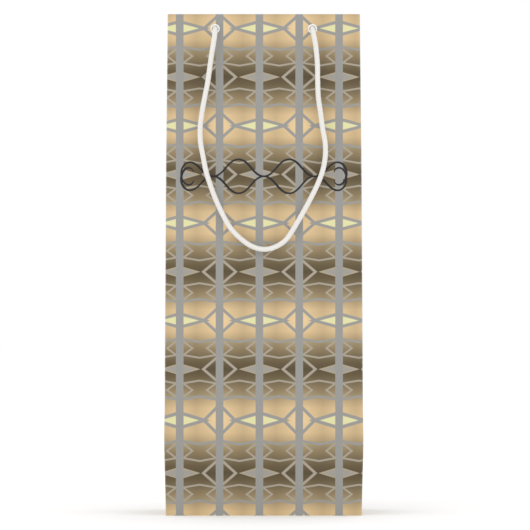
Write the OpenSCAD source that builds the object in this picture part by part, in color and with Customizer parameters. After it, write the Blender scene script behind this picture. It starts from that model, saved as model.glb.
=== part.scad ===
// Gift bag for one bottle: folded from coated paper, standing open, with a cord
// handle on each broad side. The origin is at the middle of the underside, +Z is
// up, +X is to the right and the front panel faces -Y.

/* [Bag] */
// Width of the front and rear panels
bag_w = 133; // [120:1:160]
// Depth of the bag over the front and rear panels
bag_d = 83; // [74:1:100]
// Height from the underside to the folded top edge
bag_h = 340; // [300:1:410]
// Thickness of the paper
paper_t = 0.4; // [0.3:0.05:0.6]
// How far the middle crease of each gusset stands inward
crease_in = 3; // [1:0.5:3.5]
// Width of the glued seam strip
seam_w = 15; // [10:1:20]

/* [Top hem] */
// How far the top edge is folded down inside
hem_h = 38; // [32:1:60]
// Hem paper left below the strip of card inside it
hem_lip = 4; // [2:1:8]
// Thickness of the strip of card inside the hem
top_card_t = 0.8; // [0.5:0.1:1.2]

/* [Base] */
// How far the front and rear bottom flaps pass the middle
flap_past = 20; // [10:1:30]
// How far their free corners taper
flap_taper = 8; // [2:1:20]
// Length of the side bottom flaps
side_flap_l = 30; // [20:1:36]
// Thickness of the loose base card
base_card_t = 1.2; // [0.8:0.1:2]
// Gap between the base card and the walls
base_card_gap = 4; // [3.5:0.5:6]

/* [Handles] */
// Distance between the two eyelets of one handle
handle_pitch = 66; // [60:1:72]
// Distance from the top edge to the eyelet centres
eyelet_drop = 10; // [8:0.5:14]
// Diameter of the handle cord
cord_d = 3.5; // [2.5:0.1:4.5]
// Wall of the eyelet's barrel
eyelet_wall = 0.45; // [0.3:0.05:0.8]
// How far the eyelet's flanges stand out past the barrel
eyelet_rim = 0.8; // [0.5:0.1:1.5]
// Thickness of the eyelet's flanges
flange_t = 0.6; // [0.4:0.1:1]
// Diameter of the knot behind the eyelet
knot_d = 8.6; // [7.5:0.1:10]
// Length of the knot, away from the panel
knot_l = 7.5; // [6:0.5:9]
// Length of the cord end that hangs below the knot
tail_l = 14; // [8:1:25]

/* [Clearances] */
// Gap left at a folded edge, beside the next sheet
fold_gap = 0.3; // [0.2:0.05:0.5]
// Radial gap between an eyelet and its punched hole
eyelet_fit = 0.05; // [0.02:0.01:0.15]
// Radial gap between the cord and the eyelet's bore
cord_fit = 0.2; // [0.1:0.05:0.4]

/* [Hidden] */
$fn = 48;
cut = 1; // how far a cutter passes the face that it opens

print_colour = "#b9a27a";
inner_colour = "#f4f3ef";
board_colour = "#b8b2a6";
plastic_colour = "#f2f2f2";
cord_colour = "#ffffff";

// Places across the thickness of the front wall, measured inward from its face
hem_in = paper_t + top_card_t;
stack_in = hem_in + paper_t;

// Inner width between the folded gussets, with the gap at each fold
inside_w = bag_w - 2 * (paper_t + fold_gap);
inside_d = bag_d - 2 * paper_t;

// Each gusset fold leans in from the panel to the middle crease
fold_run = inside_d / 2;
fold_angle = atan(crease_in / fold_run);
fold_l = norm([crease_in, fold_run]);

// The foot of the gusset is a triangle as high as half the depth
foot_h = bag_d / 2;
foot_angle = atan(crease_in / foot_h);
foot_l = norm([crease_in, foot_h]);

base_z = 3 * paper_t; // top of the three layers of bottom flaps

bore_r = cord_d / 2 + cord_fit;
barrel_r = bore_r + eyelet_wall;
punch_r = barrel_r + eyelet_fit;
eyelet_z = bag_h - eyelet_drop;

knot_corner = 1.8; // rounding of the knot's edges
cord_sides = 8;

// Route of the front handle: across from the middle, out from the eyelets' flanges
// and down from the eyelets, from the left eyelet to the right one. It starts half a
// millimetre clear of the cord in the eyelet, so that it can swing.
route = [
    [-33, 0.5, 0], [-33, 3.2, 0.7], [-33.1, 5.7, 2.7], [-33.5, 7.4, 7],
    [-35, 7.5, 16], [-36.5, 7.2, 26.5], [-38, 6.8, 37], [-40, 6.5, 47],
    [-41.8, 6.2, 57], [-43, 5.9, 67], [-42.8, 5.7, 77], [-41, 5.5, 87],
    [-39, 5.3, 97], [-35.8, 5.2, 107], [-32.2, 5.1, 116.5], [-28, 5, 125.5],
    [-23, 4.9, 134.5], [-16, 4.9, 142], [-8, 4.9, 147.5], [0, 4.9, 149.5],
    [7.5, 4.9, 148], [14.5, 4.9, 143.5], [19.5, 4.9, 136.5], [24, 5, 129],
    [28.5, 5, 121], [33, 5.1, 112.5], [37, 5.3, 104], [40, 5.4, 95.5],
    [41.6, 5.6, 86], [41.4, 5.8, 77], [39.8, 6.1, 68], [38.3, 6.4, 57],
    [36.8, 6.7, 46], [36.4, 7, 35], [36.2, 7.3, 24], [35.2, 7.5, 13],
    [34, 7.2, 6], [33.3, 5.6, 2.5], [33, 3.2, 0.7], [33, 0.5, 0]
];

// Helpers ---------------------------------------------------------------

// Front pieces are drawn first, and their twins are mirrored from them
module to_rear() mirror([0, 1, 0]) children();
module to_left() mirror([1, 0, 0]) children();

// Puts a piece drawn along +Z from the front face on an eyelet's axis, inward
module on_eyelet(side)
    translate([side * handle_pitch / 2, -bag_d / 2, eyelet_z])
        rotate([-90, 0, 0])
            children();

// Extrudes a section drawn in Y and Z along +X
module along_x(length)
    rotate([90, 0, 90])
        linear_extrude(length)
            children();

module punched(depth)
    difference() {
        children();
        for (side = [-1, 1])
            on_eyelet(side)
                translate([0, 0, -cut])
                    cylinder(r = punch_r, h = depth + 2 * cut);
    }

// Frame of the right gusset's front fold: X runs from the front panel to the
// middle crease and Y runs into the bag
module on_fold()
    translate([bag_w / 2, paper_t - bag_d / 2, 0])
        rotate([0, 0, 90 + fold_angle])
            children();

// Paper -----------------------------------------------------------------

module panel()
    punched(paper_t)
        translate([-bag_w / 2, -bag_d / 2, 0])
            cube([bag_w, paper_t, bag_h - paper_t]);

module gusset_fold() {
    start = paper_t * tan(fold_angle);
    on_fold()
        translate([0, paper_t, 0])
            rotate([90, 0, 0])
                linear_extrude(paper_t)
                    polygon([
                        [start, foot_h * start / fold_l],
                        [start, bag_h - paper_t],
                        [fold_l, bag_h - paper_t],
                        [fold_l, foot_h]
                    ]);
}

module gusset_foot() {
    start = paper_t * tan(foot_angle);
    half = fold_run * (1 - start / foot_l);
    translate([bag_w / 2, 0, 0])
        rotate([0, -foot_angle, 0])
            translate([-paper_t, 0, 0])
                along_x(paper_t)
                    polygon([[-half, start], [half, start], [0, foot_l]]);
}

// The hem rolls over the top edge and hangs down behind the card
module hem()
    punched(stack_in)
        union() {
            translate([-bag_w / 2, -bag_d / 2, bag_h - paper_t])
                cube([bag_w, stack_in, paper_t]);
            translate([-inside_w / 2, hem_in - bag_d / 2, bag_h - hem_h])
                cube([inside_w, paper_t, hem_h]);
        }

module gusset_hem() {
    start = (top_card_t + paper_t + fold_gap) / cos(fold_angle)
        + 2 * paper_t * tan(fold_angle);
    on_fold()
        translate([start, 0, 0])
            along_x(fold_l - start)
                polygon([
                    [0, bag_h - paper_t], [0, bag_h],
                    [2 * paper_t, bag_h], [2 * paper_t, bag_h - hem_h],
                    [paper_t, bag_h - hem_h], [paper_t, bag_h - paper_t]
                ]);
}

module top_card()
    punched(hem_in)
        translate([-inside_w / 2, paper_t - bag_d / 2, bag_h - hem_h + hem_lip])
            cube([inside_w, top_card_t, hem_h - hem_lip - paper_t]);

// A bottom flap from the front crease, in the layer that starts at z
module main_flap(z)
    translate([0, 0, z])
        linear_extrude(paper_t)
            polygon([
                [-inside_w / 2, -inside_d / 2],
                [inside_w / 2, -inside_d / 2],
                [inside_w / 2 - flap_taper, flap_past],
                [flap_taper - inside_w / 2, flap_past]
            ]);

module end_flap() {
    half = inside_d / 2 - fold_gap;
    translate([0, 0, 2 * paper_t])
        linear_extrude(paper_t)
            polygon([
                [inside_w / 2, -half],
                [inside_w / 2, half],
                [inside_w / 2 - side_flap_l, half - side_flap_l],
                [inside_w / 2 - side_flap_l, side_flap_l - half]
            ]);
}

// Eyelets and handles ---------------------------------------------------

module eyelet(side)
    on_eyelet(side)
        rotate_extrude()
            polygon([
                [bore_r, -flange_t],
                [barrel_r + eyelet_rim, -flange_t],
                [barrel_r + eyelet_rim, 0],
                [barrel_r, 0],
                [barrel_r, stack_in],
                [barrel_r + eyelet_rim, stack_in],
                [barrel_r + eyelet_rim, stack_in + flange_t],
                [bore_r, stack_in + flange_t]
            ]);

// The cord through the eyelet, its knot inside and the end that hangs from it
module knot(side) {
    seat = stack_in + flange_t;
    on_eyelet(side) {
        translate([0, 0, -flange_t])
            cylinder(d = cord_d, h = seat + flange_t + knot_corner);
        translate([0, 0, seat])
            rotate_extrude()
                polygon(concat(
                    [[0, 0]],
                    rounded_corner(knot_d / 2 - knot_corner, knot_corner, -90),
                    rounded_corner(knot_d / 2 - knot_corner, knot_l - knot_corner, 0),
                    [[0, knot_l]]
                ));
        translate([0, 0, seat + knot_l / 2])
            rotate([-90, 0, 0])
                cylinder(d = cord_d, h = knot_d / 2 + tail_l);
    }
}

// A quarter circle about [x, y] of the knot's corner radius
function rounded_corner(x, y, from) = [
    for (turn = [0:22.5:90])
        [x + knot_corner * cos(from + turn), y + knot_corner * sin(from + turn)]
];

function unit(v) = v / norm(v);

function on_route(p) = [p[0], -bag_d / 2 - flange_t - p[1], eyelet_z - p[2]];

// The cord's direction at point i: square to the panel at both ends, and from the
// neighbouring points between them
function heading(points, i) =
    i == 0 ? [0, -1, 0]
    : i == len(points) - 1 ? [0, 1, 0]
    : unit(points[i + 1] - points[i - 1]);

// A ring round the cord. The route never runs along [1, 1, 0].
function ring(centre, along) =
    let (side = unit(cross(along, [1, 1, 0])), up = cross(side, along))
        [
            for (k = [0:cord_sides - 1])
                centre + cord_d / 2
                    * (side * cos(360 * k / cord_sides) + up * sin(360 * k / cord_sides))
        ];

module handle_cord() {
    points = [for (p = route) on_route(p)];
    last = len(points) - 1;
    wall = [
        for (i = [0:last - 1], k = [0:cord_sides - 1])
            let (a = i * cord_sides, next = (k + 1) % cord_sides)
                [a + k, a + next, a + cord_sides + next, a + cord_sides + k]
    ];
    first_end = [for (k = [cord_sides - 1:-1:0]) k];
    last_end = [for (k = [0:cord_sides - 1]) last * cord_sides + k];
    polyhedron(
        [for (i = [0:last]) each ring(points[i], heading(points, i))],
        concat(wall, [first_end, last_end])
    );
}

// Sub-parts -------------------------------------------------------------

module front_panel() color(print_colour) panel();
module rear_panel() color(print_colour) to_rear() panel();

module left_gusset_front() color(print_colour) to_left() gusset_fold();
module left_gusset_rear() color(print_colour) to_left() to_rear() gusset_fold();
module left_gusset_foot() color(print_colour) to_left() gusset_foot();
module right_gusset_front() color(print_colour) gusset_fold();
module right_gusset_rear() color(print_colour) to_rear() gusset_fold();
module right_gusset_foot() color(print_colour) gusset_foot();

module front_hem() color(print_colour) hem();
module rear_hem() color(print_colour) to_rear() hem();
module left_hem_front() color(print_colour) to_left() gusset_hem();
module left_hem_rear() color(print_colour) to_left() to_rear() gusset_hem();
module right_hem_front() color(print_colour) gusset_hem();
module right_hem_rear() color(print_colour) to_rear() gusset_hem();

// Glued inside the rear panel, from the bottom flaps up to the hem
module side_seam()
    color(inner_colour)
        translate([-inside_w / 2, inside_d / 2 - paper_t, base_z])
            cube([seam_w, paper_t, bag_h - hem_h - fold_gap - base_z]);

module front_top_card() color(board_colour) top_card();
module rear_top_card() color(board_colour) to_rear() top_card();

module front_flap() color(inner_colour) main_flap(paper_t);
module rear_flap() color(print_colour) to_rear() main_flap(0);
module left_flap() color(inner_colour) to_left() end_flap();
module right_flap() color(inner_colour) end_flap();

module base_card() {
    w = bag_w - 2 * (paper_t + base_card_gap);
    d = bag_d - 2 * (paper_t + base_card_gap);
    color(board_colour)
        translate([-w / 2, -d / 2, base_z])
            cube([w, d, base_card_t]);
}

module front_left_eyelet() color(plastic_colour) eyelet(-1);
module front_right_eyelet() color(plastic_colour) eyelet(1);
module rear_left_eyelet() color(plastic_colour) to_rear() eyelet(-1);
module rear_right_eyelet() color(plastic_colour) to_rear() eyelet(1);

module front_left_knot() color(cord_colour) knot(-1);
module front_right_knot() color(cord_colour) knot(1);
module rear_left_knot() color(cord_colour) to_rear() knot(-1);
module rear_right_knot() color(cord_colour) to_rear() knot(1);

module front_handle_cord() color(cord_colour) handle_cord();
module rear_handle_cord() color(cord_colour) to_rear() handle_cord();

front_panel();
rear_panel();
left_gusset_front();
left_gusset_rear();
left_gusset_foot();
right_gusset_front();
right_gusset_rear();
right_gusset_foot();
front_hem();
rear_hem();
left_hem_front();
left_hem_rear();
right_hem_front();
right_hem_rear();
side_seam();
front_top_card();
rear_top_card();
front_flap();
rear_flap();
left_flap();
right_flap();
base_card();
front_left_eyelet();
front_right_eyelet();
rear_left_eyelet();
rear_right_eyelet();
front_left_knot();
front_right_knot();
rear_left_knot();
rear_right_knot();
front_handle_cord();
rear_handle_cord();
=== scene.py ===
import math
import bpy
import numpy as np
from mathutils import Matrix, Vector


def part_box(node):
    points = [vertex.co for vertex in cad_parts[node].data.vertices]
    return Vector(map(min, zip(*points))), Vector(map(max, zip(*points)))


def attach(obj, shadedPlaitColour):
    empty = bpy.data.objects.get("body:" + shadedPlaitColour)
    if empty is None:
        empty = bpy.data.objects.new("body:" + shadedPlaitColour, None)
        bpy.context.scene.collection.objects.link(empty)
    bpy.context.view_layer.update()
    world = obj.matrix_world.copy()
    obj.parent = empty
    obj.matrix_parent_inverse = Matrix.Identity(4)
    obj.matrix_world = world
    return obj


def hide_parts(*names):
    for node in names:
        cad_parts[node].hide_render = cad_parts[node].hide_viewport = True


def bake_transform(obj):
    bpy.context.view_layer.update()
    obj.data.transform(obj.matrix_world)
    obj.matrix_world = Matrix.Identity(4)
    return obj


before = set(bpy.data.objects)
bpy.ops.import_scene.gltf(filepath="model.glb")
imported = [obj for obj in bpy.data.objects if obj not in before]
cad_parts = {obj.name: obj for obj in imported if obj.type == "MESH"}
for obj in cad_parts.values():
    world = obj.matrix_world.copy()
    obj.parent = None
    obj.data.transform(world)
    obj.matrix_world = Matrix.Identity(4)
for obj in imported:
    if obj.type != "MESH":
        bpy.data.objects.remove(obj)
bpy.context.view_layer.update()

mm = 0.001

# The bag's own sizes, from the frame
panelLow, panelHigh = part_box("front_panel")
hemLow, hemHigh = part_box("front_hem")
eyeletLow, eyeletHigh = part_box("front_left_eyelet")
halfWidth = panelHigh.x
halfDepth = -panelLow.y
bagHeight = hemHigh.z
hemDepth = bagHeight - hemLow.z
hemStack = hemHigh.y - panelLow.y
eyeletHeight = (eyeletLow.z + eyeletHigh.z) / 2
eyeletAcross = -(eyeletLow.x + eyeletHigh.x) / 2
eyeletFace = -eyeletLow.y
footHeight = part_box("left_gusset_foot")[1].z


def toLinear(hexColour):
    parts = [int(hexColour[i:i + 2], 16) / 255 for i in (1, 3, 5)]
    return [c / 12.92 if c <= 0.04045 else ((c + 0.055) / 1.055) ** 2.4 for c in parts] + [1.0]


def addNode(tree, kind, settings=None, links=None, output=None):
    # settings are the node's own, links are its inputs: a socket joins, anything else is a value.
    # It gives the node, or the output that is asked for.
    node = tree.nodes.new(kind)
    for name, value in (settings or {}).items():
        setattr(node, name, value)
    for name, value in (links or {}).items():
        if isinstance(value, bpy.types.NodeSocket):
            tree.links.new(value, node.inputs[name])
        else:
            node.inputs[name].default_value = value
    return node if output is None else node.outputs[output]


def newMaterial(name, **surface):
    # a Principled surface with its constants on its own sockets
    material = bpy.data.materials.new(name)
    material.use_nodes = True
    tree = material.node_tree
    shader = tree.nodes["Principled BSDF"]
    for socket, value in surface.items():
        shader.inputs[socket.replace("_", " ")].default_value = value
    return material, tree, shader


def joinShader(tree, shader, colour, rough, bump):
    for name, socket in (("Base Color", colour), ("Roughness", rough), ("Normal", bump)):
        tree.links.new(socket, shader.inputs[name])


def deselectAll():
    if bpy.context.object and bpy.context.object.mode != "OBJECT":
        bpy.ops.object.mode_set(mode="OBJECT")
    bpy.ops.object.select_all(action="DESELECT")


def select(piece):
    deselectAll()
    piece.select_set(True)
    bpy.context.view_layer.objects.active = piece


def applyModifiers(piece):
    select(piece)
    for modifier in list(piece.modifiers):
        bpy.ops.object.modifier_apply(modifier=modifier.name)


def settle(piece, name):
    # place, turn and scale go into the mesh
    select(piece)
    bpy.ops.object.transform_apply(location=True, rotation=True, scale=True)
    piece.name = name
    piece.data.name = name
    return piece


# Camera: square on to the front panel through a long lens
camera = {"distance": 3.0, "sensor": 36.0, "seen": 0.3592, "across": 0.0008, "height": 0.1699}
bpy.ops.object.camera_add(location=(camera["across"], -halfDepth - camera["distance"], camera["height"]),
                          rotation=(math.radians(90), 0, 0))
eye = bpy.context.object
eye.data.sensor_width = camera["sensor"]
eye.data.lens = camera["sensor"] * camera["distance"] / camera["seen"]
eye.data.clip_end = 60
bpy.context.scene.camera = eye
print("camera is placed")


# Cord material: braided polyester, so soft, matt and bright with a faint fibre sheen, and with painted shade
# in the valleys between its strands
def braidedPolyester():
    material, tree, shader = newMaterial("braidedWhitePolyester", Roughness=0.8, Sheen_Weight=0.35,
                                         Sheen_Roughness=0.5, IOR=1.48)
    place = addNode(tree, "ShaderNodeTexCoord", None, None, "Object")
    fibres = addNode(tree, "ShaderNodeTexNoise", None,
                     {"Vector": place, "Scale": 1 / (0.5 * mm), "Detail": 4.0}, "Fac")
    # painted shade: the colour darkens in the valleys between the plait's strands, where shade falls, and is
    # lighter on their crowns
    plait = addNode(tree, "ShaderNodeAttribute", {"attribute_name": "plait"}, None, "Fac")
    shadedPlaitColour = addNode(tree, "ShaderNodeMix", {"data_type": "RGBA"},
                   {0: plait, 6: toLinear("#d9d7d3"), 7: toLinear("#ebe8e4")}, 2)
    soft = addNode(tree, "ShaderNodeMath", {"operation": "MULTIPLY"}, {0: fibres, 1: 0.25}, 0)
    tint = addNode(tree, "ShaderNodeMix", {"data_type": "RGBA"},
                   {0: soft, 6: shadedPlaitColour, 7: toLinear("#e0ddd8")}, 2)
    rough = addNode(tree, "ShaderNodeMath", {"operation": "MULTIPLY_ADD"}, {0: fibres, 1: 0.2, 2: 0.7}, 0)
    bump = addNode(tree, "ShaderNodeBump", None,
                   {"Strength": 0.2, "Distance": 0.08 * mm, "Height": fibres}, 0)
    joinShader(tree, shader, tint, rough, bump)
    return material


cordFinish = braidedPolyester()
cordSizes = {"diameter": 3.5 * mm, "step": 0.45 * mm, "sides": 32, "lobes": 6, "pitch": 11 * mm,
             "relief": 0.045}

# The front handle's route: across, out from the eyelets' flanges, down from the eyelets, in mm
cordRoute = [
    (-33, 0.5, 0), (-33, 3.2, 0.7), (-33.1, 5.7, 2.7), (-33.5, 7.4, 7),
    (-35, 7.5, 16), (-36.5, 7.2, 26.5), (-38, 6.8, 37), (-40, 6.5, 47),
    (-41.8, 6.2, 57), (-43, 5.9, 67), (-42.8, 5.7, 77), (-41, 5.5, 87),
    (-39, 5.3, 97), (-35.8, 5.2, 107), (-32.2, 5.1, 116.5), (-28, 5, 125.5),
    (-23, 4.9, 134.5), (-16, 4.9, 142), (-8, 4.9, 147.5), (0, 4.9, 149.5),
    (7.5, 4.9, 148), (14.5, 4.9, 143.5), (19.5, 4.9, 136.5), (24, 5, 129),
    (28.5, 5, 121), (33, 5.1, 112.5), (37, 5.3, 104), (40, 5.4, 95.5),
    (41.6, 5.6, 86), (41.4, 5.8, 77), (39.8, 6.1, 68), (38.3, 6.4, 57),
    (36.8, 6.7, 46), (36.4, 7, 35), (36.2, 7.3, 24), (35.2, 7.5, 13),
    (34, 7.2, 6), (33.3, 5.6, 2.5), (33, 3.2, 0.7), (33, 0.5, 0),
]


def smoothLine(points, step):
    # evenly spaced points on a smooth curve through the given ones
    points = [np.array(p, float) for p in points]
    ends = [2 * points[0] - points[1]] + points + [2 * points[-1] - points[-2]]
    fine = []
    for a, b, c, d in zip(ends, ends[1:], ends[2:], ends[3:]):
        for t in np.linspace(0, 1, 24, endpoint=False):
            fine.append(0.5 * (2 * b + (c - a) * t + (2 * a - 5 * b + 4 * c - d) * t ** 2
                               + (3 * b - a - 3 * c + d) * t ** 3))
    fine = np.array(fine + [points[-1]])
    for _ in range(6):
        fine[1:-1] = (fine[:-2] + 2 * fine[1:-1] + fine[2:]) / 4
    run = np.concatenate([[0], np.cumsum(np.linalg.norm(np.diff(fine, axis=0), axis=1))])
    count = max(8, int(run[-1] / step))
    even = np.linspace(0, run[-1], count)
    return np.stack([np.interp(even, run, fine[:, k]) for k in range(3)], axis=1), run[-1]


def plaitedTube(name, line, sizes):
    # a round tube whose surface rises and falls as crossing strands do
    radius = sizes["diameter"] / 2
    sides = sizes["sides"]
    along = np.gradient(line, axis=0)
    along /= np.linalg.norm(along, axis=1)[:, None]
    side = np.cross(along[0], [0.0, 0.0, 1.0])
    if np.linalg.norm(side) < 0.1:
        side = np.cross(along[0], [1.0, 0.0, 0.0])
    run = np.concatenate([[0], np.cumsum(np.linalg.norm(np.diff(line, axis=0), axis=1))])
    verts, plait = [], []
    for centre, ahead, at in zip(line, along, run):
        side = side - ahead * (side @ ahead)
        side /= np.linalg.norm(side)
        up = np.cross(ahead, side)
        for k in range(sides):
            turn = 2 * math.pi * k / sides
            twist = 2 * math.pi * at / sizes["pitch"] * sizes["lobes"] / 2
            over = max(math.cos(sizes["lobes"] * turn + twist), math.cos(sizes["lobes"] * turn - twist))
            over = max(0.0, over) ** 0.5
            r = radius * (1 - sizes["relief"] * (1 - over))
            verts.append(centre + r * (side * math.cos(turn) + up * math.sin(turn)))
            plait.append(over)
    rings = len(line)
    faces = []
    for i in range(rings - 1):
        for k in range(sides):
            ring, after = i * sides, (k + 1) % sides
            faces.append((ring + k, ring + after, ring + sides + after, ring + sides + k))
    faces.append(tuple(range(sides))[::-1])
    faces.append(tuple((rings - 1) * sides + k for k in range(sides)))
    mesh = bpy.data.meshes.new(name)
    mesh.from_pydata([tuple(v) for v in verts], [], faces)
    # the plait attribute is 1 on the strands' crowns and 0 in the valleys; the cord's colour paints shade
    # into the valleys from it
    mesh.attributes.new("plait", "FLOAT", "POINT").data.foreach_set("value", np.array(plait, np.float32))
    mesh.materials.append(cordFinish)
    piece = bpy.data.objects.new(name, mesh)
    bpy.context.collection.objects.link(piece)
    select(piece)
    bpy.ops.object.mode_set(mode="EDIT")
    bpy.ops.mesh.select_all(action="SELECT")
    bpy.ops.mesh.normals_make_consistent(inside=False)
    bpy.ops.object.mode_set(mode="OBJECT")
    bpy.ops.object.shade_smooth()
    return piece


# Handle cords: one length from knot to knot, out through both eyelets
knotSeat = halfDepth - hemStack - (eyeletFace - halfDepth)  # the inner flange's face, from the middle
knotDepth = 3.4 * mm


def handleLine(front):
    # front is 1 for the handle towards -Y and -1 for its twin behind
    route = [(x * mm, -(eyeletFace + out * mm), eyeletHeight - down * mm) for x, out, down in cordRoute]
    first, last = route[0], route[-1]
    inward = [(first[0], -(knotSeat - knotDepth), first[2]), (first[0], -(knotSeat + mm), first[2])]
    outward = [(last[0], -(knotSeat + mm), last[2]), (last[0], -(knotSeat - knotDepth), last[2])]
    return [(x, front * y, z) for x, y, z in inward + route + outward]


def knotLine():
    # an overhand knot pulled tight, about its own middle: a clover that crosses over itself
    turns = np.linspace(0, 2 * math.pi, 120)
    size = 0.98 * mm
    return np.stack([size * (np.sin(turns) + 2 * np.sin(2 * turns)), -size * 1.15 * np.sin(3 * turns),
                     size * (np.cos(turns) - 2 * np.cos(2 * turns))], axis=1)


def makeKnot(name, node, across, front):
    middle = np.array([across, -front * (knotSeat - knotDepth - 0.4 * mm), eyeletHeight])
    clover = np.concatenate([knotLine(), knotLine()[1:8]])
    sizes = dict(cordSizes, diameter=2.9 * mm, sides=20)
    loops = plaitedTube(name, clover + middle, sizes)
    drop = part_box(node)[0].z + 1.0 * mm
    tail = [middle + np.array([0.4, front * 0.6, -1.0]) * mm,
            middle + np.array([0.9, front * 0.9, -5.0]) * mm,
            np.array([middle[0] + 0.7 * mm, middle[1], (middle[2] + drop) / 2 - 2 * mm]),
            np.array([middle[0] + 0.2 * mm, middle[1] - front * 0.6 * mm, drop])]
    line, _ = smoothLine(tail, cordSizes["step"])
    end = plaitedTube(name + "Tail", line, dict(cordSizes, diameter=3.2 * mm, sides=24))
    select(loops)
    end.select_set(True)
    bpy.ops.object.join()
    loops.name = name
    loops.data.name = name
    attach(loops, "bag")
    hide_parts(node)
    return loops


def makeHandle(name, node, front, knotNames):
    knots = [makeKnot(knot, knotNode, across, front) for knot, knotNode, across in knotNames]
    line, length = smoothLine(handleLine(front), cordSizes["step"])
    cord = plaitedTube(name, line, cordSizes)
    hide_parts(node)
    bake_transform(cord)
    print(name, "is", round(length * 1000), "mm long")
    return cord


makeHandle("frontCord", "front_handle_cord", 1,
           [("frontLeftOverhandKnot", "front_left_knot", -eyeletAcross),
            ("frontRightOverhandKnot", "front_right_knot", eyeletAcross)])
makeHandle("rearCord", "rear_handle_cord", -1,
           [("rearLeftOverhandKnot", "rear_left_knot", -eyeletAcross),
            ("rearRightOverhandKnot", "rear_right_knot", eyeletAcross)])
print("cords and knots are made")


# Printed paper: one repeat of the print is 54 mm wide and 66 mm tall, and each quarter of it
# mirrors the next
printSizes = {"halfAcross": 27.0, "halfDown": 33.0, "firstBar": 3.0, "firstBand": 9.7, "bar": 2.6,
              "soft": 0.12, "zigzagRun": 13.5, "zigzagRise": 0.17}
barInk, lightInk = "#94938f", "#a49b8b"

# The repeat's lines in one quarter, in mm and in the order of printing. A rhombus is centred on a
# bar at a height and reaches so far across and down; a zigzag has a height only.
lineWork = {
    "lightLeft": {"ink": lightInk, "bar": "wide", "down": 18.8, "reach": (8.6, 6.4), "half": 0.6},
    "lightRight": {"ink": lightInk, "bar": "narrow", "down": 18.8, "reach": (8.6, 6.4), "half": 0.6},
    "lightDiamond": {"ink": lightInk, "bar": "narrow", "down": 33.0, "reach": (11.0, 9.4), "half": 0.85},
    "lightZigzag": {"ink": lightInk, "down": 23.0, "half": 0.6},
    "greyFrame": {"ink": barInk, "bar": "wide", "down": 0.0, "reach": (16.9, 4.6), "half": 1.0},
    "greyDiamond": {"ink": barInk, "bar": "narrow", "down": 0.0, "reach": (10.5, 9.5), "half": 1.0},
    "greyZigzag": {"ink": barInk, "down": 12.3, "half": 0.75},
}


def rhombusGap(tree, across, down, reach):
    # how far outside a rhombus about the corner a point is, and below zero inside it
    size = reach[0] * reach[1] / math.hypot(*reach)
    part = addNode(tree, "ShaderNodeMath", {"operation": "MULTIPLY_ADD"},
                   {0: across, 1: size / reach[0], 2: -size}, 0)
    return addNode(tree, "ShaderNodeMath", {"operation": "MULTIPLY_ADD"},
                   {0: down, 1: size / reach[1], 2: part}, 0)


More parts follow.
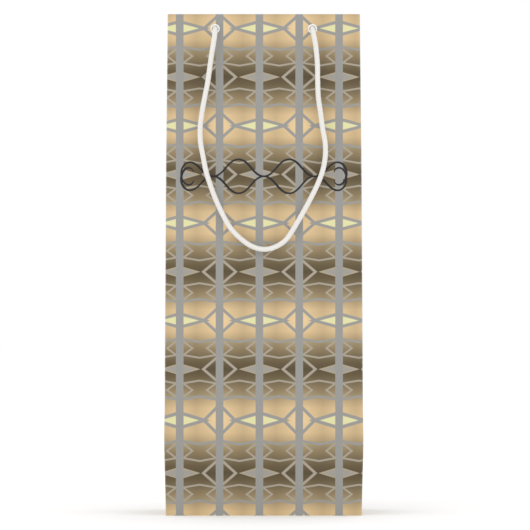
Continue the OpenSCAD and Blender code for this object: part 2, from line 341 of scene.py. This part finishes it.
def printPattern(tree, u, v):
    # the print's colour at u across from the front's middle and v down from the top, in mm
    halfAcross, halfDown, bar = printSizes["halfAcross"], printSizes["halfDown"], printSizes["bar"]
    firstBand, run = printSizes["firstBand"], printSizes["zigzagRun"]
    shifted = addNode(tree, "ShaderNodeMath", {"operation": "ADD"}, {0: u, 1: printSizes["firstBar"]}, 0)
    across = addNode(tree, "ShaderNodeMath", {"operation": "PINGPONG"}, {0: shifted, 1: halfAcross}, 0)
    lowered = addNode(tree, "ShaderNodeMath", {"operation": "SUBTRACT"}, {0: v, 1: firstBand}, 0)
    down = addNode(tree, "ShaderNodeMath", {"operation": "PINGPONG"}, {0: lowered, 1: halfDown}, 0)
    toNext = addNode(tree, "ShaderNodeMath", {"operation": "SUBTRACT"}, {0: halfAcross, 1: across}, 0)
    toBrown = addNode(tree, "ShaderNodeMath", {"operation": "SUBTRACT"}, {0: halfDown, 1: down}, 0)

    share = addNode(tree, "ShaderNodeMath", {"operation": "DIVIDE"}, {0: down, 1: halfDown}, 0)
    ground = addNode(tree, "ShaderNodeValToRGB", None, {"Fac": share})
    stops = [(0.0, "#e4c798"), (0.22, "#ddc092"), (0.37, "#bfa67e"), (0.44, "#a69775"), (0.58, "#94805e"),
             (0.7, "#7b6d50"), (0.76, "#74674c"), (0.86, "#635438"), (1.0, "#50442e")]
    ramp = ground.color_ramp
    for place, colour in stops[1:-1]:
        ramp.elements.new(place)
    for element, (place, colour) in zip(ramp.elements, stops):
        element.position = place
        element.color = toLinear(colour)
    # the gold and brown fields fade towards the bars
    moved = addNode(tree, "ShaderNodeMath", {"operation": "ADD"}, {0: across, 1: 3.0}, 0)
    fade = addNode(tree, "ShaderNodeMath", {"operation": "PINGPONG"}, {0: moved, 1: 14.0}, 0)
    fade = addNode(tree, "ShaderNodeMath", {"operation": "MULTIPLY"}, {0: fade, 1: 0.022}, 0)
    ink = addNode(tree, "ShaderNodeMix", {"data_type": "RGBA"},
                  {0: fade, 6: ground.outputs[0], 7: toLinear("#5a4c34")}, 2)

    # each layer is a distance, the edge below which it is printed, and its ink
    layers = [(rhombusGap(tree, across, down, (13.4, 3.2)), 0.0, "#dad7a3"),
              (rhombusGap(tree, across, toBrown, (14.0, 4.0)), 0.0, "#a99c84"),
              (rhombusGap(tree, across, toBrown, (11.0, 3.1)), 0.0, "#9a968e")]
    tooth = addNode(tree, "ShaderNodeMath", {"operation": "PINGPONG"}, {0: across, 1: run}, 0)
    for shape in lineWork.values():
        if "reach" in shape:
            level = addNode(tree, "ShaderNodeMath", {"operation": "SUBTRACT"}, {0: down, 1: shape["down"]}, 0)
            level = addNode(tree, "ShaderNodeMath", {"operation": "ABSOLUTE"}, {0: level}, 0)
            gap = rhombusGap(tree, across if shape["bar"] == "wide" else toNext, level, shape["reach"])
        else:
            line = addNode(tree, "ShaderNodeMath", {"operation": "MULTIPLY_ADD"},
                           {0: tooth, 1: printSizes["zigzagRise"], 2: shape["down"]}, 0)
            gap = addNode(tree, "ShaderNodeMath", {"operation": "SUBTRACT"}, {0: down, 1: line}, 0)
        gap = addNode(tree, "ShaderNodeMath", {"operation": "ABSOLUTE"}, {0: gap}, 0)
        layers.append((gap, shape["half"], shape["ink"]))
    layers += [(across, bar, barInk), (toNext, bar, barInk)]
    soft = printSizes["soft"]
    for gap, edge, colour in layers:
        mask = addNode(tree, "ShaderNodeMapRange", None,
                       {"Value": gap, "From Min": edge - soft, "From Max": edge + soft,
                        "To Min": 1.0, "To Max": 0.0}, 0)
        ink = addNode(tree, "ShaderNodeMix", {"data_type": "RGBA"}, {0: mask, 6: ink, 7: toLinear(colour)}, 2)
    return ink


def satinPrint(name, useUv):
    # Offset-printed art paper under satin laminate: even colour, a soft broad gloss and a faint
    # paper grain below the film. The film whitens where it was creased.
    material, tree, shader = newMaterial(name, Roughness=0.45, Specular_IOR_Level=0.3, Coat_Weight=0.05,
                                         Coat_Roughness=0.3)
    solid = addNode(tree, "ShaderNodeTexCoord", None, None, "Object")
    place = addNode(tree, "ShaderNodeUVMap", {"uv_map": "sheet"}, None, 0) if useUv else solid
    parts = addNode(tree, "ShaderNodeSeparateXYZ", None, {0: place})
    # the UV map holds metres on the flat sheet
    u = addNode(tree, "ShaderNodeMath", {"operation": "MULTIPLY"}, {0: parts.outputs[0], 1: 1000.0}, 0)
    v = addNode(tree, "ShaderNodeMath", {"operation": "MULTIPLY"}, {0: parts.outputs[1], 1: 1000.0}, 0)
    ink = printPattern(tree, u, v)
    grain = addNode(tree, "ShaderNodeTexNoise", None,
                    {"Vector": solid, "Scale": 1 / (0.9 * mm), "Detail": 5.0}, "Fac")
    if useUv:
        crease = addNode(tree, "ShaderNodeAttribute", {"attribute_name": "crease"}, None, "Fac")
        flecks = addNode(tree, "ShaderNodeTexNoise", None,
                         {"Vector": solid, "Scale": 1 / (2.4 * mm), "Detail": 6.0}, "Fac")
        worn = addNode(tree, "ShaderNodeMapRange", None,
                       {"Value": flecks, "From Min": 0.42, "From Max": 0.72,
                        "To Min": 0.06, "To Max": 0.4}, 0)
        wear = addNode(tree, "ShaderNodeMath", {"operation": "MULTIPLY"}, {0: crease, 1: worn}, 0)
        ink = addNode(tree, "ShaderNodeMix", {"data_type": "RGBA"},
                      {0: wear, 6: ink, 7: toLinear("#ece8df")}, 2)
    rough = addNode(tree, "ShaderNodeMath", {"operation": "MULTIPLY_ADD"}, {0: grain, 1: 0.16, 2: 0.38}, 0)
    bump = addNode(tree, "ShaderNodeBump", None,
                   {"Strength": 0.12, "Distance": 0.05 * mm, "Height": grain}, 0)
    joinShader(tree, shader, ink, rough, bump)
    return material


def plainPaper(name, colour, shade, fibre):
    # uncoated paper or card: quite matt, with a cloudy formation and short fibres in its surface
    material, tree, shader = newMaterial(name, Roughness=0.85, IOR=1.45)
    solid = addNode(tree, "ShaderNodeTexCoord", None, None, "Object")
    cloud = addNode(tree, "ShaderNodeTexNoise", None,
                    {"Vector": solid, "Scale": 1 / (9 * mm), "Detail": 6.0}, "Fac")
    fibres = addNode(tree, "ShaderNodeTexNoise", None,
                     {"Vector": solid, "Scale": 1 / fibre, "Detail": 3.0, "Distortion": 1.5}, "Fac")
    both = addNode(tree, "ShaderNodeMath", {"operation": "MULTIPLY"}, {0: cloud, 1: fibres}, 0)
    tint = addNode(tree, "ShaderNodeMix", {"data_type": "RGBA"},
                   {0: both, 6: toLinear(colour), 7: toLinear(shade)}, 2)
    rough = addNode(tree, "ShaderNodeMath", {"operation": "MULTIPLY_ADD"}, {0: fibres, 1: 0.15, 2: 0.78}, 0)
    bump = addNode(tree, "ShaderNodeBump", None,
                   {"Strength": 0.3, "Distance": 0.08 * mm, "Height": fibres}, 0)
    joinShader(tree, shader, tint, rough, bump)
    return material


printFinish = satinPrint("satinLaminatedPrint", True)
flapFinish = satinPrint("satinLaminatedPrintUnderneath", False)
insideFinish = plainPaper("uncoatedWhitePaperBack", "#f6f5f1", "#dedbd3", 0.8 * mm)
boardFinish = plainPaper("recycledGreyboard", "#b9b3a7", "#7f786b", 0.6 * mm)
print("papers are mixed")


# The folded sheet: front, gussets, rear and the hem turned in at the top, all in one piece
sheet = {
    "thickness": 0.35 * mm, "fold": 1.1 * mm, "creaseIn": 3.0 * mm, "gussetHem": 0.8 * mm,
    "footStretch": 4.6 * mm, "bow": 0.9 * mm, "roll": 0.75 * mm, "flatFrom": 0.29,
    # height and half width: the folded foot pushes the corners out a little, and the mouth draws in
    "outline": [(0.0, 66.5), (0.012, 66.7), (0.05, 67.8), (0.075, 67.3), (0.14, 66.9), (0.24, 66.3),
                (0.30, 65.6), (0.34, 65.2)],
}


def widthAt(z):
    heights = [p[0] for p in sheet["outline"]]
    widths = [p[1] * mm for p in sheet["outline"]]
    spread = [np.interp(z + shift, heights, widths) for shift in np.linspace(-0.012, 0.012, 9)]
    return float(np.mean(spread))


def bowAt(share, z):
    # how far the broad panels stand out between their folds, with a slight ripple in the paper
    belly = math.sin(math.pi * min(1.0, z / sheet["flatFrom"])) if z < sheet["flatFrom"] else 0.0
    ripple = 0.12 * math.sin(31 * z + 4 * share) + 0.08 * math.sin(73 * z - 7 * share)
    return sheet["bow"] * (1 - share * share) * belly * (0.8 + ripple)


def smallest(a, b, soft=0.05):
    # the smaller of two values, rounded where they cross
    h = max(soft - abs(a - b), 0.0) / soft
    return min(a, b) - h * h * soft / 4


def sheetPoint(u, z):
    # the place of the outer face at u round the sheet from the front's middle and z up
    wide = widthAt(z)
    deep = halfDepth
    around = 4 * (halfWidth + halfDepth)
    u = (u + around / 2) % around - around / 2
    side = abs(u)
    sign = 1 if u >= 0 else -1
    rounding = max(0.0, sheet["fold"] - abs(side - halfWidth)) + max(
        0.0, sheet["fold"] - abs(side - halfWidth - 2 * halfDepth))
    inward = rounding ** 2 / (4 * sheet["fold"])
    if side <= halfWidth:
        share = side / halfWidth
        return sign * (share * wide - inward * (share > 0.5)), -(deep + bowAt(share, z) - inward)
    if side >= halfWidth + 2 * halfDepth:
        share = (2 * halfWidth + 2 * halfDepth - side) / halfWidth
        return sign * (share * wide - inward * (share > 0.5)), deep + bowAt(share, z) - inward
    y = -deep + (side - halfWidth)
    lean = smallest(z / footHeight, 1 - abs(y) / deep)
    x = wide - sheet["creaseIn"] * max(0.0, lean) - inward
    return sign * x, math.copysign(max(0.0, abs(y) - inward), y)


def acrossSheet(u, z):
    # how far round the print a column lies once the panels' own width at z is allowed for
    wide = widthAt(min(z, bagHeight))
    around = 4 * (halfWidth + halfDepth)
    nominal = [halfWidth, halfWidth + 2 * halfDepth, around - halfWidth - 2 * halfDepth, around - halfWidth]
    actual = [wide, around / 2 - wide, around / 2 + wide, around - wide]
    places = [-n for n in nominal[::-1]] + nominal
    return float(np.interp(u, places, [-a for a in actual[::-1]] + actual))


def stretchAt(z):
    # the print runs a little longer just above the foot, where the sheet bulges
    return float(np.interp(z, [0.026, 0.05, 0.08], [sheet["footStretch"], 0.7 * sheet["footStretch"], 0.0]))


def creaseAt(u, z):
    # 1 on a fold's line, fading within a millimetre
    around = 4 * (halfWidth + halfDepth)
    side = abs((u + around / 2) % around - around / 2)
    fold = min(abs(side - halfWidth), abs(side - halfWidth - 2 * halfDepth))
    if halfWidth < side < halfWidth + 2 * halfDepth:
        y = side - halfWidth - halfDepth
        if z > footHeight:
            fold = min(fold, abs(y))
        else:
            fold = min(fold, abs(abs(y) / halfDepth + z / footHeight - 1) * footHeight / math.sqrt(2))
    worn = max(0.0, 1 - fold / (0.9 * mm))
    return max(worn, 0.2) if z > bagHeight - 0.3 * mm else worn


def stations(start, end, count, fold):
    # even columns between two folds, with close ones beside each fold
    inner = np.linspace(start + 2.4 * fold, end - 2.4 * fold, count)
    near = [0.0, 0.35 * fold, 0.7 * fold, 1.1 * fold, 1.7 * fold]
    return [start + n for n in near] + list(inner) + [end - n for n in near[:0:-1]]


def foldedSheet():
    w, d, fold = halfWidth, halfDepth, sheet["fold"]
    seam = -(w + 2 * d)
    columns = (stations(seam, seam + 2 * d, 46, fold) + stations(-w, w, 38, fold)
               + stations(w, w + 2 * d, 46, fold) + stations(w + 2 * d, 3 * w + 2 * d, 38, fold))
    columns.append(3 * w + 2 * d)
    rows = [(0.0, z, z) for z in np.linspace(0.0, footHeight + 4 * mm, 27)]
    rows += [(0.0, z, z) for z in np.linspace(footHeight + 7 * mm, bagHeight - 3 * mm, 74)]
    roll = sheet["roll"]
    for turn in np.linspace(0, math.pi, 9):
        rows.append(((1 - math.cos(turn)) / 2, bagHeight - roll + roll * math.sin(turn),
                     bagHeight - roll + turn * roll))
    for below in np.linspace(2 * mm, hemDepth - roll, 12):
        rows.append((1.0, bagHeight - roll - below, bagHeight + 2 * roll + below))
    wide, tall = len(columns), len(rows)
    bpy.ops.mesh.primitive_grid_add(x_subdivisions=wide - 1, y_subdivisions=tall - 1, size=1)
    piece = bpy.context.object
    mesh = piece.data
    corner = [(round((v.co.x + 0.5) * (wide - 1)), round((v.co.y + 0.5) * (tall - 1))) for v in mesh.vertices]
    crease = np.zeros(len(mesh.vertices), np.float32)
    for v, (i, j) in zip(mesh.vertices, corner):
        turned, z, _ = rows[j]
        x, y = sheetPoint(columns[i], min(z, bagHeight))
        x *= 1 - turned * sheet["gussetHem"] / halfWidth
        y *= 1 - turned * hemStack / halfDepth
        v.co = (x, y, z)
        crease[v.index] = creaseAt(columns[i], z)
    mesh.attributes.new("crease", "FLOAT", "POINT").data.foreach_set("value", crease)
    for layer in list(mesh.uv_layers):
        mesh.uv_layers.remove(layer)
    uv = mesh.uv_layers.new(name="sheet")
    for loop in mesh.loops:
        i, j = corner[loop.vertex_index]
        _, z, run = rows[j]
        uv.data[loop.index].uv = (acrossSheet(columns[i], z), bagHeight - run - stretchAt(z))
    mesh.materials.append(printFinish)
    mesh.materials.append(insideFinish)
    select(piece)
    bpy.ops.object.mode_set(mode="EDIT")
    bpy.ops.mesh.select_all(action="SELECT")
    bpy.ops.mesh.remove_doubles(threshold=0.02 * mm)
    bpy.ops.object.mode_set(mode="OBJECT")
    front = min(piece.data.polygons, key=lambda p: (p.center - Vector((0, -halfDepth, bagHeight / 2))).length)
    if front.normal.y > 0:
        piece.data.flip_normals()
    wall = piece.modifiers.new("wall", "SOLIDIFY")
    wall.thickness = sheet["thickness"]
    wall.offset = -1
    wall.material_offset = 1
    wall.material_offset_rim = 1
    applyModifiers(piece)
    select(piece)
    bpy.ops.object.shade_smooth_by_angle(angle=math.radians(40))
    return settle(piece, "foldedPaperSheet")


def punchHoles(piece):
    # the eyelets' holes, through both layers of paper
    eyeletHole = (eyeletHigh.x - eyeletLow.x) / 2 - 0.75 * mm
    deselectAll()
    cutters = []
    for across in (-eyeletAcross, eyeletAcross):
        bpy.ops.mesh.primitive_cylinder_add(vertices=32, radius=eyeletHole, depth=3 * halfDepth,
                                            location=(across, 0, eyeletHeight),
                                            rotation=(math.radians(90), 0, 0))
        cutters.append(bpy.context.object)
    for cutter in cutters:
        hole = piece.modifiers.new("hole", "BOOLEAN")
        hole.operation = "DIFFERENCE"
        hole.solver = "EXACT"
        hole.object = cutter
        applyModifiers(piece)
        bpy.data.objects.remove(cutter)


paper = foldedSheet()
punchHoles(paper)
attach(paper, "bag")
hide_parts("front_panel", "rear_panel", "left_gusset_front", "left_gusset_rear", "left_gusset_foot",
            "right_gusset_front", "right_gusset_rear", "right_gusset_foot", "front_hem", "rear_hem",
            "left_hem_front", "left_hem_rear", "right_hem_front", "right_hem_rear")
print("the sheet is folded")


# Strips of card inside the hem and the glued seam, narrowed to the drawn-in mouth
def innerStrip(name, node, finish):
    strip = bpy.data.objects.new(name, bpy.data.objects[node].data.copy())
    bpy.context.collection.objects.link(strip)
    select(strip)
    bpy.ops.object.mode_set(mode="EDIT")
    bpy.ops.mesh.select_all(action="SELECT")
    bpy.ops.mesh.remove_doubles(threshold=0.001 * mm)
    bpy.ops.object.mode_set(mode="OBJECT")
    reach = widthAt(bagHeight) - 1.0 * mm
    for v in strip.data.vertices:
        if abs(v.co.x) > reach:
            v.co.x = math.copysign(reach, v.co.x)
    strip.data.materials.clear()
    strip.data.materials.append(finish)
    edge = strip.modifiers.new("edge", "BEVEL")
    edge.width = 0.1 * mm
    edge.segments = 2
    applyModifiers(strip)
    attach(strip, "bag")
    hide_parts(node)


innerStrip("frontTopCard", "front_top_card", boardFinish)
innerStrip("rearTopCard", "rear_top_card", boardFinish)
innerStrip("gluedSeam", "side_seam", insideFinish)


# Eyelets: a moulded ring with a rounded flange outside and inside
eyeletSizes = {"bore": 1.95 * mm, "barrel": 2.35 * mm, "flange": 3.2 * mm, "lip": 0.6 * mm, "sides": 48}


def mouldedPolypropylene():
    # Moulded polypropylene: white, faintly translucent, with a low even gloss off the tool
    material, tree, shader = newMaterial("mouldedWhitePolypropylene", Roughness=0.32, IOR=1.49)
    shader.inputs["Subsurface Weight"].default_value = 0.08
    shader.inputs["Subsurface Radius"].default_value = (0.6 * mm, 0.6 * mm, 0.6 * mm)
    solid = addNode(tree, "ShaderNodeTexCoord", None, None, "Object")
    flow = addNode(tree, "ShaderNodeTexNoise", None,
                   {"Vector": solid, "Scale": 1 / (1.2 * mm), "Detail": 3.0}, "Fac")
    tint = addNode(tree, "ShaderNodeMix", {"data_type": "RGBA"},
                   {0: flow, 6: toLinear("#f7f7f6"), 7: toLinear("#e9e9e7")}, 2)
    rough = addNode(tree, "ShaderNodeMath", {"operation": "MULTIPLY_ADD"}, {0: flow, 1: 0.12, 2: 0.26}, 0)
    bump = addNode(tree, "ShaderNodeBump", None,
                   {"Strength": 0.15, "Distance": 0.03 * mm, "Height": flow}, 0)
    joinShader(tree, shader, tint, rough, bump)
    return material


plasticFinish = mouldedPolypropylene()


def makeEyelet(name, node, across, front):
    s = eyeletSizes
    deep = hemStack
    bore, barrel, flange, lip = s["bore"], s["barrel"], s["flange"], s["lip"]
    profile = [(bore, 0.25 * mm), (bore + 0.2 * mm, -0.35 * mm), (barrel + 0.15 * mm, -lip),
               (flange - 0.35 * mm, -lip + 0.08 * mm), (flange - 0.05 * mm, -0.3 * mm),
               (flange, -0.02 * mm), (barrel, 0.0), (barrel, deep), (flange, deep + 0.02 * mm),
               (flange - 0.05 * mm, deep + 0.3 * mm), (flange - 0.35 * mm, deep + lip - 0.08 * mm),
               (barrel + 0.15 * mm, deep + lip), (bore + 0.2 * mm, deep + 0.35 * mm),
               (bore, deep - 0.25 * mm)]
    deselectAll()
    bpy.ops.mesh.primitive_circle_add(vertices=s["sides"], radius=profile[0][0], location=(0, 0, 0))
    ring = bpy.context.object
    bpy.ops.object.mode_set(mode="EDIT")
    bpy.ops.mesh.select_all(action="SELECT")
    bpy.ops.transform.translate(value=(0, 0, profile[0][1]))
    for (r0, z0), (r1, z1) in zip(profile, profile[1:]):
        bpy.ops.mesh.extrude_region_move(TRANSFORM_OT_translate={"value": (0, 0, z1 - z0)})
        bpy.ops.transform.resize(value=(r1 / r0, r1 / r0, 1), center_override=(0, 0, 0))
    bpy.ops.mesh.select_all(action="DESELECT")
    bpy.ops.object.mode_set(mode="OBJECT")
    # the first and the last ring close the bore
    for v in ring.data.vertices:
        v.select = math.hypot(v.co.x, v.co.y) < bore + 0.01 * mm
    bpy.ops.object.mode_set(mode="EDIT")
    bpy.ops.mesh.bridge_edge_loops()
    bpy.ops.mesh.select_all(action="SELECT")
    bpy.ops.mesh.normals_make_consistent(inside=False)
    bpy.ops.object.mode_set(mode="OBJECT")
    smooth = ring.modifiers.new("round", "BEVEL")
    smooth.width = 0.06 * mm
    smooth.segments = 2
    smooth.limit_method = "ANGLE"
    applyModifiers(ring)
    ring.rotation_euler = (math.radians(-90 if front > 0 else 90), 0, 0)
    ring.location = (across, -front * halfDepth, eyeletHeight)
    settle(ring, name)
    bpy.ops.object.shade_smooth_by_angle(angle=math.radians(50))
    ring.data.materials.append(plasticFinish)
    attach(ring, "bag")
    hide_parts(node)


makeEyelet("frontLeftEyelet", "front_left_eyelet", -eyeletAcross, 1)
makeEyelet("frontRightEyelet", "front_right_eyelet", eyeletAcross, 1)
makeEyelet("rearLeftEyelet", "rear_left_eyelet", -eyeletAcross, -1)
makeEyelet("rearRightEyelet", "rear_right_eyelet", eyeletAcross, -1)
print("eyelets are set")


# Flaps and base card keep their own solids and take their papers. Each flap is folded under
# with its printed side down.
for node in ("front_flap", "rear_flap", "left_flap", "right_flap", "base_card"):
    solid = bpy.data.objects[node]
    solid.data.materials.clear()
    solid.data.materials.append(boardFinish if node == "base_card" else insideFinish)
    if node.endswith("flap"):
        solid.data.materials.append(flapFinish)
        for face in solid.data.polygons:
            face.material_index = 1 if face.normal.z < -0.5 else 0
print("flaps and base card have their papers")


# Pen scroll in dark ink across the front, in place of lettering
scroll = {"half": 56.0, "height": 11.5, "drop": 110.0, "pen": 0.75, "steps": 700,
          "loops": 4, "turn": 9.0, "curl": -40.0, "grow": 8}


def scrollLine():
    # one half of the pen's line: it waves from the middle and curls up at its end
    x, y, heading = 0.0, 0.0, 0.0
    line = [(x, y)]
    for k in range(scroll["steps"]):
        s = (k + 0.5) / scroll["steps"]
        bend = scroll["turn"] * math.cos(math.pi * scroll["loops"] * s) + scroll["curl"] * s ** scroll["grow"]
        heading += bend / scroll["steps"]
        x += math.cos(heading) / scroll["steps"]
        y += math.sin(heading) / scroll["steps"]
        line.append((x, y))
    across = scroll["half"] * mm / max(abs(p[0]) for p in line)
    tall = scroll["height"] * mm / max(abs(p[1]) for p in line)
    right = [(px * across, py * tall) for px, py in line]
    return [(-px, -py) for px, py in right[:0:-1]] + right


def penScroll():
    verts, faces = [], []
    for strand in (1, -1):
        line = [(x, strand * z) for x, z in scrollLine()]
        base = len(verts)
        for k, (x, z) in enumerate(line):
            before, after = line[max(k - 1, 0)], line[min(k + 1, len(line) - 1)]
            dx, dz = after[0] - before[0], after[1] - before[1]
            length = math.hypot(dx, dz) or 1.0
            # the pen presses harder on its way down and lifts at both ends
            lift = min(1.0, 0.3 + 0.02 * min(k, len(line) - 1 - k))
            pen = scroll["pen"] * mm * (0.8 + 0.25 * max(0.0, -dz / length)) * lift
            for s in (-1, 1):
                px = x - s * pen * dz / length
                pz = bagHeight - scroll["drop"] * mm + z + s * pen * dx / length
                share = min(1.0, abs(px) / halfWidth)
                proud = 0.05 * mm + (0.02 * mm if strand > 0 else 0.0)
                verts.append((px, -(halfDepth + bowAt(share, pz) + proud), pz))
        for k in range(base, base + 2 * (len(line) - 1), 2):
            faces.append((k, k + 1, k + 3, k + 2))
    mesh = bpy.data.meshes.new("penScroll")
    mesh.from_pydata(verts, [], faces)
    piece = bpy.data.objects.new("penScroll", mesh)
    bpy.context.collection.objects.link(piece)
    if mesh.polygons[10].normal.y > 0:
        mesh.flip_normals()
    film = piece.modifiers.new("film", "SOLIDIFY")
    film.thickness = 0.03 * mm
    film.offset = -1
    applyModifiers(piece)
    # Printing ink: dense, slightly uneven black-grey with the laminate's gloss
    material, tree, shader = newMaterial("darkPrintingInk", Roughness=0.5, Specular_IOR_Level=0.3)
    solid = addNode(tree, "ShaderNodeTexCoord", None, None, "Object")
    cover = addNode(tree, "ShaderNodeTexNoise", None,
                    {"Vector": solid, "Scale": 1 / (1.5 * mm), "Detail": 4.0}, "Fac")
    tint = addNode(tree, "ShaderNodeMix", {"data_type": "RGBA"},
                   {0: cover, 6: toLinear("#1c1c1f"), 7: toLinear("#28282b")}, 2)
    tree.links.new(tint, shader.inputs["Base Color"])
    mesh.materials.append(material)
    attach(piece, "bag")
    return piece


penScroll()
print("the scroll is drawn")


# Floor and soft studio light
studio = {"floor": 12.0, "world": 1.0}
deselectAll()
bpy.ops.mesh.primitive_plane_add(size=studio["floor"], location=(0, 0, 0))
floor = bpy.context.object
floor.name = "paleFloor"
# Matt white backdrop paper: even, with no gloss at all
floorFinish, _, _ = newMaterial("mattWhiteBackdropPaper", Roughness=1.0, Specular_IOR_Level=0.0,
                                Base_Color=toLinear("#ffffff"))
floor.data.materials.append(floorFinish)

world = bpy.data.worlds.new("studio")
bpy.context.scene.world = world
world.use_nodes = True
world.node_tree.nodes["Background"].inputs["Color"].default_value = (1, 1, 1, 1)
world.node_tree.nodes["Background"].inputs["Strength"].default_value = studio["world"]

lamps = [
    {"at": (-1.4, -2.2, 1.9), "size": 1.8, "power": 9},
    {"at": (1.7, -1.9, 1.3), "size": 1.8, "power": 4},
    {"at": (0.4, 2.2, 2.0), "size": 2.0, "power": 6},
]
for lamp in lamps:
    bpy.ops.object.light_add(type="AREA", location=lamp["at"])
    light = bpy.context.object
    light.data.size = lamp["size"]
    light.data.energy = lamp["power"]
    aim = Vector((0, 0, 0.17)) - Vector(lamp["at"])
    light.rotation_euler = aim.to_track_quat("-Z", "Y").to_euler()
bpy.context.scene.view_settings.view_transform = "Standard"
print("light and floor are ready")
